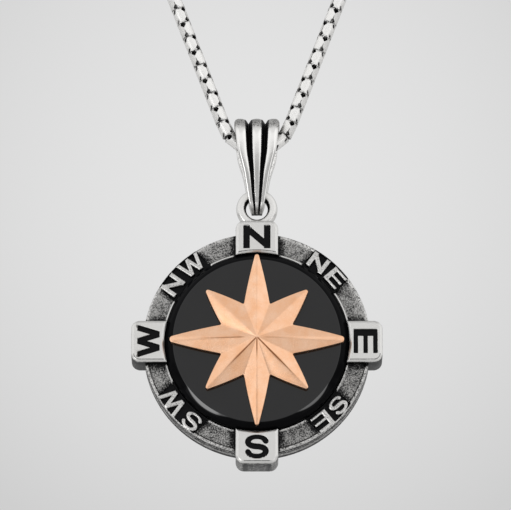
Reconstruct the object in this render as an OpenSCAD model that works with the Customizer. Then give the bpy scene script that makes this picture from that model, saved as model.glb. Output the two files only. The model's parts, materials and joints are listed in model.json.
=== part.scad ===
// Compass pendant on a rounded box chain, in millimetres
// +Z up, the pendant's face towards -Y
// Origin: under the clasp, where the chain rests on the nape of the neck

/* [Ring] */
// Outer radius of the ring
ring_r = 16.3; // [15:0.1:18]
// Radius of the opening that holds the stone
opening_r = 13.2; // [12:0.1:14]
// Thickness of the ring from front to back
ring_depth = 4.1; // [3:0.1:6]
// Thickness of the closed back
floor_t = 0.8; // [0.5:0.1:1.5]
// Width of the polished lip along the ring's outer edge
outer_lip = 0.4; // [0.2:0.05:0.8]
// Width of the polished lip along the opening
inner_lip = 0.35; // [0.2:0.05:0.8]
// Depth of the dark field between the lips
field_depth = 0.25; // [0.1:0.05:0.6]
// Width and depth of the groove behind the ring's front edge
side_groove = 0.18; // [0.06:0.02:0.4]
// Bevel of the ring's outer edges
ring_bevel = 0.2; // [0.05:0.05:0.35]

/* [Blocks] */
// Width of a block along the ring
block_w = 6.1; // [5:0.1:8]
// Distance of a block's outer face from the centre
block_r = 18.0; // [17:0.1:20]
// Height of a block's face above the ring's face
block_proud = 1.1; // [0.4:0.1:2]
// Bevel round a block's face
block_bevel = 0.3; // [0.1:0.05:0.6]
// Rounding of a block's outer corners
block_corner = 0.7; // [0.3:0.05:1.2]

/* [Loop] */
// Outer radius of the loop on the top block
loop_r = 2.98; // [2.7:0.02:3.6]
// Radius of the hole through the loop
loop_hole_r = 1.56; // [1.4:0.02:1.8]
// Thickness of the loop from front to back
loop_depth = 1.8; // [1.4:0.1:2.2]
// Rounding of the loop's edges
loop_round = 0.5; // [0.2:0.05:0.6]
// Metal between the top block and the loop's hole
loop_neck = 0.8; // [0.6:0.05:1.4]
// Distance of the loop in front of the ring's middle, which lets the face hang upright
loop_forward = 0.45; // [0:0.05:0.8]

/* [Stone] */
// Width of the stone's rounded edge
stone_edge = 1.15; // [0.6:0.05:2]
// Height of the stone's flat top above the ring's face
stone_proud = 1.4; // [0.8:0.1:2.4]
// Gap between the stone and the metal round it
stone_gap = 0.06; // [0.02:0.01:0.2]

/* [Star] */
// Radius of the four long tips
long_tip_r = 12.6; // [11:0.1:13]
// Radius of the four short tips
short_tip_r = 10.3; // [9:0.1:12]
// Radius of the valleys between the tips
valley_r = 5.65; // [5:0.05:6.5]
// Height of the star's edge above its seat
star_edge = 0.75; // [0.3:0.05:1.2]
// Height of the star's peak above its edge
star_peak = 1.3; // [0.8:0.1:2.5]
// Radius of a rounded tip
tip_round = 0.32; // [0.1:0.02:0.6]
// Gap between the star and the stone
star_gap = 0.04; // [0.02:0.01:0.2]

/* [Bail] */
// Width of the bail at its top
bail_w = 6.6; // [6:0.1:7.2]
// Width of the bail at its lowest point
bail_tip_w = 1.4; // [1:0.1:1.8]
// Thickness of the bail's top
bail_top_t = 1.3; // [1.2:0.1:2]
// Thickness of the bail's solid bottom
bail_low_t = 1.84; // [1.4:0.02:2]
// Outer radius of the bail's bottom, seen from the side
bail_low_r = 1.9; // [1.7:0.05:2.4]
// Distance between the centres of the bail's top and bottom curves
bail_drop = 7.86; // [6:0.1:12]
// Depth of the grooves between the rods, at the top
rod_groove = 0.8; // [0.3:0.05:0.9]
// Rounding of the bail's inner edges
bail_round = 0.4; // [0.2:0.05:0.6]
// Clearance between the bail and the chain inside it
bail_clear = 0.2; // [0.1:0.05:0.6]
// Clearance between the bail and the loop's top bar
loop_clear = 0.3; // [0.2:0.05:0.6]

/* [Chain] */
// Length of the closed loop
chain_length = 500; // [420:5:600]
// Thickness of the chain
chain_d = 2.0; // [1.9:0.05:2.2]
// Distance between neighbouring links
link_pitch = 2.3; // [2.2:0.02:2.6]
// Width of a link at its ends
link_end_w = 0.5; // [0.4:0.02:0.6]
// Thickness of a link's metal
link_t = 0.28; // [0.22:0.02:0.32]
// Clearance between two linked links
link_play = 0.28; // [0.22:0.01:0.3]
// Angle of the two strands from the vertical
strand_angle = 20.5; // [16:0.5:26]
// Depth of the chain's lowest joint below the bail's upper centre
chain_sag = 1.0; // [0.8:0.05:1.2]

/* [Clasp] */
// Shortest length of the clasp between its end joints
clasp_l = 13; // [10:0.5:20]
// Radius of the clasp's barrel
clasp_r = 1.7; // [1.4:0.1:2.5]
// Rounding of the barrel's ends
clasp_round = 0.8; // [0.3:0.1:1.2]

/* [Hidden] */

// Route of the chain: slope of each link above the level, from the lowest joint inside the bail up to
// the straight strand, in degrees
KNEE = [13, 39, 65];

// Half width of the bail: share of the way down from its top, share of the way from its narrowest to
// its widest
BAIL_TAPER = [[0, 1], [0.24, 0.90], [0.40, 0.81], [0.594, 0.49], [0.806, 0.28], [0.911, 0.16],
              [0.97, 0.04], [1, 0]];

// Outer face of the bail across its half width, middle rod, groove and side rod: share of the half
// width, share of the groove's depth; mirrored to the other half
ROD_PROFILE = [[0, 0], [0.12, 0.08], [0.205, 0.36], [0.26, 0.95], [0.33, 1.05], [0.455, 1.05],
               [0.52, 0.95], [0.575, 0.36], [0.66, 0.08], [0.76, 0], [0.87, 0.08], [0.95, 0.36],
               [1, 0.95]];

// Directions of the points of a rounded tip, from its left flank to its right, as shares of the turn
TIP_TURN = [-1, -0.5, 0, 0.5, 1];

fine = 96;
small = 32;

silver = [0.80, 0.80, 0.81];
dark_silver = [0.58, 0.58, 0.59];
onyx = [0.10, 0.10, 0.11];
rose_gold = [0.93, 0.70, 0.55];

// The medallion is drawn lying flat, its face up and its top towards +Y; heights are from the
// middle of the ring
ring_face = ring_depth / 2;
ring_back = -ring_depth / 2;
block_face = ring_face + block_proud;
stone_r = opening_r - stone_gap;
stone_flat_r = stone_r - stone_edge;
stone_top = ring_face + stone_proud;
stone_back = ring_back + floor_t + stone_gap;
loop_y = block_r + loop_neck + loop_hole_r;
bar_y = loop_y + (loop_r + loop_hole_r) / 2;
bar_reach = norm([(loop_r - loop_hole_r) / 2 - loop_round, loop_depth / 2 - loop_round]) + loop_round;

// The bail is drawn with its upper centre at the origin; its curves lie in the plane of Y and Z
bail_top_in = chain_sag + chain_d / 2 + bail_clear;
bail_top_r = bail_top_in + bail_top_t;
bail_low_in = bar_reach + loop_clear;
bail_tip_z = -bail_drop - bail_low_in - bail_low_t;

// One link's inner size, and its round cheek, which clears the neighbour's end
link_l = link_pitch + 2 * link_t + link_play;
link_in_r = chain_d / 2 - link_t;
near_end = link_pitch - link_l / 2;
cheek_half = sqrt(link_in_r * link_in_r - pow(link_end_w / 2 + link_play, 2));
cheek_r = norm([near_end - link_play / 2, cheek_half]);

// Each strand is straight from the knee to the top arc, and the arc ends at the clasp
knee_n = len(KNEE);
knee_x = link_pitch * sum_cos(KNEE, 0);
half_rest = chain_length / 2 - link_pitch * knee_n;
arc_turn = 90 + strand_angle;
arc_turn_rad = arc_turn * PI / 180;
ideal_arc_r = (knee_x + half_rest * sin(strand_angle))
    / (cos(strand_angle) + arc_turn_rad * sin(strand_angle));
strand_n = round((half_rest - arc_turn_rad * ideal_arc_r) / link_pitch);
arc_r = (knee_x + strand_n * link_pitch * sin(strand_angle)) / cos(strand_angle);
arc_step = 2 * asin(link_pitch / 2 / arc_r);
arc_n = floor((arc_turn - asin(clasp_l / 2 / arc_r)) / arc_step);
clasp_span = 2 * arc_r * sin(arc_turn - arc_n * arc_step);
links_n = knee_n + strand_n + arc_n;

// Joints of the right half, from the lowest one upwards: link i runs from joint i to joint i + 1
JOINTS = [for (x = 0, z = 0, i = 0;
               i <= links_n;
               x = x + link_pitch * cos(slope(i)), z = z + link_pitch * sin(slope(i)), i = i + 1)
          [x, z]];

// Heights in the whole jewel
lowest_joint_z = clasp_r - JOINTS[links_n][1];
bail_z = lowest_joint_z + chain_sag;
medallion_z = bail_z - bail_drop - bar_y;

// Sum of the cosines of a list of angles from index i on
function sum_cos(list, i) = i >= len(list) ? 0 : cos(list[i]) + sum_cos(list, i + 1);

// Slope of link i of the right half above the level
function slope(i) = i < knee_n ? KNEE[i]
    : i < knee_n + strand_n ? 90 - strand_angle
    : 90 - strand_angle + arc_step * (i - knee_n - strand_n + 0.5);

// A closed curve round two circles on the Z axis joined by tangents, as a list of [y, z]: the upper
// circle lies at the origin, the lower one low_z below it
function round_two(r, low_r, low_z, arc_steps, leg_steps) =
    let (tilt = asin((r - low_r) / low_z),
         low = [0, -low_z],
         right = [cos(-tilt), sin(-tilt)],
         left = [-cos(-tilt), sin(-tilt)])
    concat(
        [for (i = [0 : arc_steps - 1])
            let (a = -tilt + (180 + 2 * tilt) * i / arc_steps) r * [cos(a), sin(a)]],
        [for (i = [0 : leg_steps - 1])
            let (s = i / leg_steps) (1 - s) * r * left + s * (low + low_r * left)],
        [for (i = [0 : arc_steps - 1])
            let (a = 180 + tilt + (180 - 2 * tilt) * i / arc_steps) low + low_r * [cos(a), sin(a)]],
        [for (i = [0 : leg_steps - 1])
            let (s = i / leg_steps) (1 - s) * (low + low_r * right) + s * r * right]);

// The points of a star's outline in the plane, tip by tip, each with its rounding and one valley
function star_outline() =
    [for (k = [0 : 7], p = [0 : len(TIP_TURN)])
        let (r = k % 2 == 0 ? long_tip_r : short_tip_r,
             flank = atan2(valley_r * sin(22.5), r - valley_r * cos(22.5)),
             along = 90 - 45 * k,
             turn = p < len(TIP_TURN) ? TIP_TURN[p] * (90 - flank) : 0)
        p < len(TIP_TURN)
            ? (r - tip_round) * [cos(along), sin(along)] + tip_round * [cos(along - turn), sin(along - turn)]
            : valley_r * [cos(along - 22.5), sin(along - 22.5)]];

// Rectangle of w by h round the origin, with rounded corners
module rounded(w, h, r) {
    square([w - 2 * r, h], center = true);
    square([w, h - 2 * r], center = true);
    for (x = [-1, 1], y = [-1, 1])
        translate([x * (w / 2 - r), y * (h / 2 - r)]) circle(r = r, $fn = small);
}

// Stands the medallion up and hangs it on the bail
module hung() {
    translate([0, loop_forward, medallion_z]) rotate([90, 0, 0]) children();
}

// One link along X: a round tube closed at both ends, cut to two cheeks joined by narrow ends
module link() {
    intersection() {
        rotate([0, 90, 0])
            difference() {
                cylinder(r = chain_d / 2, h = link_l, center = true, $fn = small);
                cylinder(r = link_in_r, h = link_l - 2 * link_t, center = true, $fn = small);
            }
        linear_extrude(height = chain_d + 1, center = true) {
            circle(r = cheek_r, $fn = small);
            square([link_l + 1, link_end_w], center = true);
        }
    }
}

// A link turned about its own axis: each one by a quarter against the one before
module turned_link(i) {
    rotate([45 + 90 * (i % 2), 0, 0]) link();
}

// One half of the chain; its first link is turned as the link with the number first
module half_chain(first) {
    for (i = [0 : links_n - 1]) {
        middle = (JOINTS[i] + JOINTS[i + 1]) / 2;
        translate([middle[0], 0, lowest_joint_z + middle[1]])
            rotate([0, -slope(i), 0])
                turned_link(i + first);
    }
}

module chain_right() {
    color(silver) half_chain(0);
}

module chain_left() {
    color(silver) mirror([1, 0, 0]) half_chain(1);
}

// Barrel with half a link at each end, which holds the last link of each strand
module clasp() {
    eye_x = (clasp_span - link_pitch) / 2;
    color(silver)
        translate([0, 0, clasp_r]) {
            rotate([0, 90, 0])
                rotate_extrude($fn = fine)
                    intersection() {
                        rounded(2 * clasp_r, 2 * eye_x, clasp_round);
                        translate([0, -eye_x]) square([clasp_r, 2 * eye_x]);
                    }
            for (side = [0, 1])
                mirror([side, 0, 0])
                    translate([eye_x, 0, 0])
                        rotate([0, 180, 0])
                            turned_link(links_n + side);
        }
}

// Three tapered half-round rods side by side, closed to one loop: the same section is carried round
// the curve and narrowed on its way down
module bail() {
    arc_steps = 16;
    leg_steps = 8;
    low_r_z = bail_tip_z + bail_low_r;
    outer = round_two(bail_top_r, bail_low_r, -low_r_z, arc_steps, leg_steps);
    inner = round_two(bail_top_in, bail_low_in, bail_drop, arc_steps, leg_steps);
    rods = len(ROD_PROFILE);
    section_n = 2 * rods + 3;
    height = bail_top_r - bail_tip_z;
    function half_w(z) = bail_tip_w / 2
        + (bail_w - bail_tip_w) / 2 * lookup((bail_top_r - z) / height, BAIL_TAPER);
    function section(out, in) =
        let (half = half_w(out[1]),
             wall = norm(in - out),
             inward = (in - out) / wall,
             groove = rod_groove * half * 2 / bail_w,
             edge = min(bail_round, half / 2))
        concat(
            [for (k = [-rods + 1 : rods - 1])
                let (row = ROD_PROFILE[abs(k)],
                     at = out + inward * row[1] * groove)
                [sign(k) * row[0] * half, at[0], at[1]]],
            [for (side = [1, -1], inset = side > 0 ? [1, 0] : [0, 1])
                let (at = in - inward * edge * inset)
                [side * (half - edge * (1 - inset)), at[0], at[1]]]);
    points = [for (i = [0 : len(outer) - 1]) each section(outer[i], inner[i])];
    n = len(outer);
    m = len(points) / n;
    faces = [for (i = [0 : n - 1], k = [0 : m - 1])
        [i * m + k, i * m + (k + 1) % m, ((i + 1) % n) * m + (k + 1) % m, ((i + 1) % n) * m + k]];
    color(silver)
        translate([0, 0, bail_z])
            polyhedron(points, faces);
}

// Ring and closed back in one turned profile, with two lips round a sunk field
module ring_and_back() {
    groove_top = ring_face - 2 * ring_bevel;
    rotate_extrude($fn = fine)
        polygon([
            [0, ring_back],
            [ring_r - ring_bevel, ring_back],
            [ring_r, ring_back + ring_bevel],
            [ring_r, groove_top - side_groove],
            [ring_r - side_groove, groove_top - side_groove],
            [ring_r - side_groove, groove_top],
            [ring_r, groove_top],
            [ring_r, ring_face - ring_bevel],
            [ring_r - ring_bevel, ring_face],
            [ring_r - outer_lip, ring_face],
            [ring_r - outer_lip, ring_face - field_depth],
            [opening_r + inner_lip, ring_face - field_depth],
            [opening_r + inner_lip, ring_face],
            [opening_r, ring_face],
            [opening_r, ring_back + floor_t],
            [0, ring_back + floor_t]]);
}

// Upper block: its inner face follows the opening, and its face is bevelled all round
module block() {
    depth = block_face - ring_back;
    inner_y = opening_r - 1;
    bevel = block_bevel;
    intersection() {
        translate([0, 0, ring_back])
            linear_extrude(height = depth)
                difference() {
                    translate([0, (block_r + inner_y) / 2])
                        rounded(block_w, block_r - inner_y, block_corner);
                    circle(r = opening_r, $fn = fine);
                }
        translate([0, block_r, 0])
            rotate([90, 0, 0])
                linear_extrude(height = block_r)
                    polygon([
                        [-block_w / 2, ring_back],
                        [block_w / 2, ring_back],
                        [block_w / 2, block_face - bevel],
                        [block_w / 2 - bevel, block_face],
                        [bevel - block_w / 2, block_face],
                        [-block_w / 2, block_face - bevel]]);
        translate([-block_w / 2, 0, 0])
            rotate([90, 0, 90])
                linear_extrude(height = block_w)
                    polygon([
                        [0, ring_back],
                        [block_r, ring_back],
                        [block_r, block_face - bevel],
                        [block_r - bevel, block_face],
                        [0, block_face]]);
    }
}

// Loop on the upper block, with a round-edged section
module top_loop() {
    bar = loop_r - loop_hole_r;
    translate([0, loop_y, loop_forward])
        rotate_extrude($fn = fine)
            translate([loop_hole_r + bar / 2, 0])
                rounded(bar, loop_depth, loop_round);
}

module frame() {
    color(dark_silver)
        hung() {
            ring_and_back();
            for (turn = [0 : 90 : 270]) rotate([0, 0, turn]) block();
            top_loop();
        }
}

// Disc with a flat top and a rounded edge
module stone() {
    side_top = stone_top - stone_edge;
    color(onyx)
        hung()
            rotate_extrude($fn = fine) {
                translate([0, stone_back]) square([stone_flat_r, stone_top - stone_back]);
                translate([0, stone_back]) square([stone_r, side_top - stone_back]);
                translate([stone_flat_r, side_top]) circle(r = stone_edge, $fn = fine);
            }
}

// Eight-pointed star: an upright edge, then flat facets from each ridge down to the edge
module star() {
    outline = star_outline();
    n = len(outline);
    seat = stone_top + star_gap;
    edge = seat + star_edge;
    points = concat(
        [for (p = outline) [p[0], p[1], seat]],
        [for (p = outline) [p[0], p[1], edge]],
        [[0, 0, seat], [0, 0, edge + star_peak]]);
    walls = [for (i = [0 : n - 1]) [i, (i + 1) % n, n + (i + 1) % n, n + i]];
    facets = [for (i = [0 : n - 1]) [n + i, n + (i + 1) % n, 2 * n + 1]];
    under = [for (i = [0 : n - 1]) [(i + 1) % n, i, 2 * n]];
    color(rose_gold)
        hung()
            polyhedron(points, concat(walls, facets, under));
}

chain_right();
chain_left();
clasp();
bail();
frame();
stone();
star();
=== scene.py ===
"""A compass pendant on a rounded box chain: the finish of a packed part, laid out as a Blender add-on.

The frame gives every place: the medallion's middle and back, the two swing axes and the clasp.
Lengths are in metres, written as millimetres times MM. Surfaces are computed as whole numpy arrays.
Silver surfaces hold two numbers for each point. Black says how much oxide stays, and on some surfaces how
much shade is painted: 0 is bare, 1 is black, and at BLACK no bright grain shows through. Grain says how
coarse they are: 0 is a mirror, 1 is blasted.
"""

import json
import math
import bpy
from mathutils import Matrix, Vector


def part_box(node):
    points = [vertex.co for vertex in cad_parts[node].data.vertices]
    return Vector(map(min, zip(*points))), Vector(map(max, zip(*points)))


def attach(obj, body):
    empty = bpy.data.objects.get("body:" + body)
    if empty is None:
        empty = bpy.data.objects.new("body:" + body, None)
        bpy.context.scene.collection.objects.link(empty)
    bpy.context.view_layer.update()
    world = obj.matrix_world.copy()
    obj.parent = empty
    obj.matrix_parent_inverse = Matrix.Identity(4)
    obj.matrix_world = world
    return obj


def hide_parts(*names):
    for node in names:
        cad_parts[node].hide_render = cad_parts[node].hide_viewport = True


bl_info = {
    "name": "Compass pendant",
    "version": (1, 0, 0),
    "blender": (4, 5, 0),
    "location": "3D View > Sidebar > Pendant",
    "description": "Finishes a compass pendant of oxidised silver, onyx and rose gold on its chain",
    "category": "Object",
}

from functools import partial

import bmesh
import bpy
import numpy as np
from bpy.props import FloatProperty, FloatVectorProperty, PointerProperty
from mathutils import Vector

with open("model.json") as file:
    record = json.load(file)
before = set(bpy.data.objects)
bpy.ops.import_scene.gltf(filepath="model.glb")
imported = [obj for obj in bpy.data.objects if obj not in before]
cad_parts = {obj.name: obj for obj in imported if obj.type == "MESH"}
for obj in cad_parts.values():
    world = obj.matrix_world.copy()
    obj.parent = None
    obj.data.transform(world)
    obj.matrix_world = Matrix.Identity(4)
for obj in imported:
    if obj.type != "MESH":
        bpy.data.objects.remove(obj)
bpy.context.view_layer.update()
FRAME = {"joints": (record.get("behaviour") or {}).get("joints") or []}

MM = 0.001
JOINT_AT = {joint["name"]: Vector(joint["pos_m"]) for joint in FRAME["joints"]}
BAIL_TOP = JOINT_AT["bail_swing"]
BAIL_LOW = JOINT_AT["medallion_swing"]
STONE_LOW, STONE_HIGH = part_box("stone")
FRAME_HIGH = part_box("frame")[1]
CLASP_LOW, CLASP_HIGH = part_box("clasp")
CENTRE_Z = (STONE_LOW.z + STONE_HIGH.z) / 2
BACK_Y = FRAME_HIGH.y

# Points nearer to each other than this are one point, such as those of a pole or a seam
MERGE = 0.002 * MM

# Edges that bend by more than this stay sharp on the links and the clasp
CRISP = math.radians(50)

BLACK = 1.5

# How coarse each silver surface is, on the scale of grain
GRAIN = {"lips": 0.6, "wall": 0.5, "block": 0.55, "block side": 0.45, "loop": 0.38, "link": 0.1,
         "clasp": 0.15}

# How many points each surface has: round or across it, then along it. Along the bail they are those of an
# arc and of a leg, along the star those near its peak and beyond. The last two are for rounded corners
# and for rounded edges
RING_STEPS = (880, 54)
BLOCK_STEPS = (104, 84)
LOOP_STEPS = (96, 36)
STONE_STEPS = (240, 40)
BAIL_STEPS = (97, 56, 26)
CLASP_STEPS = (64, 61)
STAGE_STEPS = (64, 25)
STAR_STEPS = (9, 14)
CORNER_STEPS = 7
EDGE_STEPS = 5

# How much closer together the ring's points are where letters stand, and steps to work that out
CROWDING = 6.0
CROWDING_STEPS = 7200

# Middle lines of each letter's strokes on a square from -1 to 1: x and y of the start, x and y of the
# end, share of the stroke's width. Ends that pass 1 are cut flat by the letter's box
STROKES = {
    "N": [(-1, -1.5, -1, 1.5, 1.05), (-1.2, 1.25, 1.2, -1.25, 1.05), (1, -1.5, 1, 1.5, 1.05)],
    "E": [(-1, -1.5, -1, 1.5, 1.15), (-1, 1, 1.5, 1, 0.7), (-1, 0, 1.5, 0, 0.7), (-1, -1, 1.5, -1, 0.7)],
    "W": [(-1.05, 1.5, -0.5, -1.3, 0.92), (-0.5, -1.3, 0, 1.2, 0.92),
          (0, 1.2, 0.5, -1.3, 0.92), (0.5, -1.3, 1.05, 1.5, 0.92)],
}

# The two half ellipses of an S, from and to in degrees with the number of points, and its share of the
# stroke's width. Then how much of that it loses where it lies level, and where that starts and is full
S_UPPER = (12, 270, 16)
S_LOWER = (90, -168, 16)
S_STROKE = 0.94
S_THINNER = 0.22
S_LEVEL = (0.55, 1.0)

# Width of each letter as a share of its height
LETTER_SHARE = {"N": 1.13, "E": 1.04, "S": 0.98, "W": 1.46}

# The letters of the four blocks, clockwise from the top, with each one's share of the height, and those
# of the ring with the angle of each pair's middle and its share of the height
BLOCK_LETTERS = [("N", 1.05), ("E", 1.04), ("S", 1.05), ("W", 0.99)]
RING_PAIRS = [("NE", 42.7, 0.92), ("SE", 134.8, 0.95), ("SW", 227.7, 1.0), ("NW", 314.0, 0.94)]

# Millimetres outside an outline, less than 0 inside it, between which a wall slopes: of a letter sunk
# into a block, of a raised letter, of its crown and of the patch round a pair
SUNK_WALL = (0.02, -0.08)
RAISED_WALL = (0.02, -0.07)
CROWN_SLOPE = (0, -0.3)
PATCH_WALL = (0.06, -0.06)

# Millimetres from the ring's outer edge where a patch starts to sink and is sunk
PATCH_END = (0.16, 0.26)

# A raised letter is looked for within this angle of its middle, in radians
LETTER_SECTOR = 0.5

# Shares of a lip's width where it starts to slope down and reaches the field
INNER_SLOPE = (0.6, 1.3)
OUTER_SLOPE = (0.6, 1.6)

# Cosines of the angle from the top, between which the ring's lower part, which gets painted shade,
# becomes its upper part
UPPER_PART = (-0.2, 0.4)

# Oxide on the ring's face, and painted shade on its lower part at the inner lip and in a line near the
# outer edge: how much of it, and the distances in millimetres where it ends and is full
FACE_OXIDE_AND_SHADE = {
    "beside a block": (0.5, 1.2, 0.25),
    "beside letters": (0.45, 1.0, 0),
    "outer lip": (0.36, 0.5, 0.3),
    # Painted shade on the lower part: at the inner lip and in a line near the outer edge
    "lower inner lip": (0.3, 0.6, 0.4),
    "line": (0.9, 0.14, 0.04),
    "against a block": (1.2, 0.45, 0.12),
}

# Oxide on the field, more of it towards the opening, and painted shade on the lower part; in a patch; as
# a thin haze on the raised letters and inside the bail; on the ring's wall and on its back
FIELD_BLACK = 0.42
INWARD_BLACK = 0.12
LOWER_SHADE = 0.08
PATCH_BLACK = 1.4
HAZE_BLACK = 0.17
WALL_BLACK = 0.75
BACK_BLACK = 0.3

# Lines turned round the ring's outer wall: share of the way from the face to the back, how deep, and how
# black
WALL_LINES = [(0.1, 0, 0.35), (0.12, 1, 1.4), (0.22, 1, 1.4), (0.25, 0, 0.65), (0.33, 0, 0.6),
              (0.36, 0.5, 1.2), (0.42, 0.5, 1.2), (0.45, 0, 0.6), (0.7, 0, 0.6), (0.74, 0.3, 1.0),
              (0.92, 0.3, 0.95)]

# A block's side from its face's edge down: how far it is drawn in, its height and its black, which is
# oxide and, in the line round the face and on the walls, also painted shade. On the bevel both lengths
# are shares of the bevel, and the height counts from the face. On the wall they are millimetres from the
# ring's face and on the foot from its back, so the back lies just inside the ring's
BLOCK_BEVEL = [(1, 0, 0), (0.94, -0.02, 0.75), (0.84, -0.07, 0.8), (0.72, -0.14, 0.02),
               (0.16, -0.48, 0.02), (0.04, -0.62, 0.35), (0, -0.85, 0.8)]
BLOCK_WALL = [(0, 0.3, 0.82), (0, -0.1, 0.86)]
BLOCK_FOOT = [(0, 0.17, 0.78), (0.06, 0.07, 0.7), (0.15, 0.02, 0.5)]

# Share of its black that a block's side keeps if it doesn't face down, and how much more it gets as
# painted
# shade if it does: in the line round the face, and on the wall. Then the painted shade added at the
# wall's corners, and where on a side
SHADE_LINE_SHARE = (0.15, 1.15)
WALL_SHADE_SHARE = (0.6, 0.4)
CORNER_SHADE = 0.3
CORNER_SHADE_PART = (0.6, 0.95)

# Power of the superellipse of the loop's section
LOOP_POWER = 0.8

# Oxide of the loop, from where it ends to where it is full: millimetres above the block and from the
# middle, millimetres past the dark radius, and cosines of the angle from the top. Then the cosines
# between which the dark radius shrinks
JOIN_ABOVE = (0.5, 0.05)
JOIN_ASIDE = (1.6, 2.3)
HOLE_PAST = (0.1, -0.06)
HOLE_PART = (-0.85, -0.55)
HOLE_SHRINKS = (0.3, -0.7)

# Power of the curve of the stone's edge, and of the spacing of its points. Then the circles of points on
# its flat top, as shares of the top's radius
STONE_POWER = 1.25
STONE_SPACING = 1.5
TOP_CIRCLES = np.array([0, 0.25, 0.5, 0.75, 0.97, 0.998])

# Flats on the stone's edge: angle clockwise from the top, half of their spread, widest share of the edge.
# Then the shares of that half where a flat ends and is full
POLISHED_FLATS = [(218, 18, 0.4), (137, 15, 0.3)]
FLAT_ENDS = (1.2, 0.9)

# Gloss of the stone's flat top and of the edge outside the flats, where a polished flat has 1, and the
# shares of the edge between which it changes
TOP_GLOSS = 0.36
EDGE_GLOSS = 0.03
GLOSS_EDGE = (0.08, -0.06)

# Ridges of the star with painted shade along them: angle clockwise from the top, start and end as shares
# of the arm, depth of the tone. Then the millimetres beside a ridge where the tone ends and is full
SHADED_RIDGES = [(135, 0.02, 0.92, 1.3), (225, 0.02, 0.76, 1.1), (180, 0.02, 0.28, 1.1), (270, 0.2, 0.85, 0.8),
           (90, 0.12, 0.6, 0.4)]
SHADED_RIDGE_EDGE = (0.14, 0.02)

# Share of an arm near the peak where the star's points lie closer together
PEAK_PART = 0.2

# Half width of the bail: share of the way down from its top, share of the way from its narrowest to
# its widest
BAIL_TAPER = [(0, 1), (0.24, 0.90), (0.40, 0.81), (0.594, 0.49), (0.806, 0.28), (0.911, 0.16),
              (0.97, 0.04), (1, 0)]

# Across the bail, as shares of its half width: middle and half width of a groove, half width of the
# middle rod, middle and half width of a side rod, start of the rounded outer edge
GROOVE_AT = 0.372
GROOVE_HALF = 0.165
ROD_HALF = 0.24
SIDE_ROD_AT = 0.755
SIDE_ROD_HALF = 0.245
EDGE_FROM = 0.83

# Power of a groove's section, and fall of a rod's sides and of the outer edge as shares of its depth
GROOVE_POWER = 1.2
ROD_CROWN = 0.2
EDGE_FALL = 0.55

# The grooves grow from this share of their depth to the whole between these millimetres above the tip
GROOVE_LOW = 0.2
GROOVE_GROWS = (0.1, 0.5)

# Painted shade on the bail's top, as black between two shares of the way up its curve. The bail's grain
# is PLAIN, and more by BRUSHED on the top and on the tip. What lies on the tip ends and is full at
# millimetres above it
TOP_SHADE = 0.34
TOP_SHADE_PART = (0.25, 0.62)
TOP_BRUSHED_PART = (0.2, 0.6)
TIP_BRUSHED = (1.8, 0.8)
TIP_HAZE = (0.06, 0.02)
PLAIN = 0.08
BRUSHED = 0.7

# Places along one cheek of a link, as shares of half its pitch, and across its band, as shares of the
# band's half width, the last one on the ridge inside. Then painted shade along the edges and at a cheek's
# ends
LINK_ALONG = np.array([-1, -0.74, -0.38, 0.38, 0.74, 1])
LINK_ACROSS = np.array([-1, -0.55, -0.24, 0, 0.24, 0.55, 1, 0])
LINK_EDGE_SHADE = 0.05
CHEEK_END_SHADE = 0.5

# Share of a cheek's spread at its ends, and depth of a pit and of the ridge, as shares of the metal
CHEEK_END = 0.88
PIT = 0.6
RIDGE = 1.4

# Turn of every other link about its own axis, and of those between them, in degrees
ROLLS = np.array([15.0, 138.0])

# Slope of each link above the level, from the chain's lowest joint up to the straight strand, in degrees
KNEE = (13, 39, 65)

# The softbox: where it hangs, how wide it is and its power in watts
SOFTBOX_AT = (-0.35, -0.9, 0.55)
SOFTBOX_WIDTH = 0.6
SOFTBOX_POWER = 6.0

# Brightness of the light tent where no panel lies, and its panels, each laid over those before it:
# azimuth from the front towards the right, elevation, half width and soft edge, all in degrees, and
# brightness. They are the ceiling with its middle and a shade in front of it, the table with its middle,
# the room behind, the two front walls and two narrow lamps
TENT_HORIZON = 0.42
TENT_PANELS = [
    (0, 90, 88, 5, 1.0),
    (0, 90, 14, 24, 0.5),
    (-6, 58, 18, 16, 0.86),
    (0, -90, 74, 7, 0.8),
    (0, -90, 20, 30, 0.6),
    (180, 0, 45, 35, 0.65),
    (-45, 18, 22, 12, 1.05),
    (45, 18, 22, 12, 1.12),
    (-36, -20, 12, 4, 2.8),
    (37, -19, 10, 4, 1.4),
]


def length(name, millimetres, description):
    """A length property: its default is given in millimetres and kept in metres."""
    return FloatProperty(name=name, description=description, default=millimetres * MM, unit="LENGTH",
                         precision=5)


def bearing(name, degrees, description):
    """An angle property: its default is given in degrees and kept in radians."""
    return FloatProperty(name=name, description=description, default=math.radians(degrees),
                         subtype="ANGLE")


def linear(hex_colour):
    """The linear colour of an sRGB hex value: c / 12.92 up to 0.04045, above it
    ((c + 0.055) / 1.055) ^ 2.4."""
    shares = np.array([int(hex_colour[i:i + 2], 16) for i in (1, 3, 5)]) / 255
    return tuple(np.where(shares <= 0.04045, shares / 12.92, ((shares + 0.055) / 1.055) ** 2.4))


def colour(name, hex_colour, description):
    """A colour property whose default is an sRGB hex value."""
    return FloatVectorProperty(name=name, description=description, default=linear(hex_colour), size=3,
                               min=0.0, max=1.0, subtype="COLOR")


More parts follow.
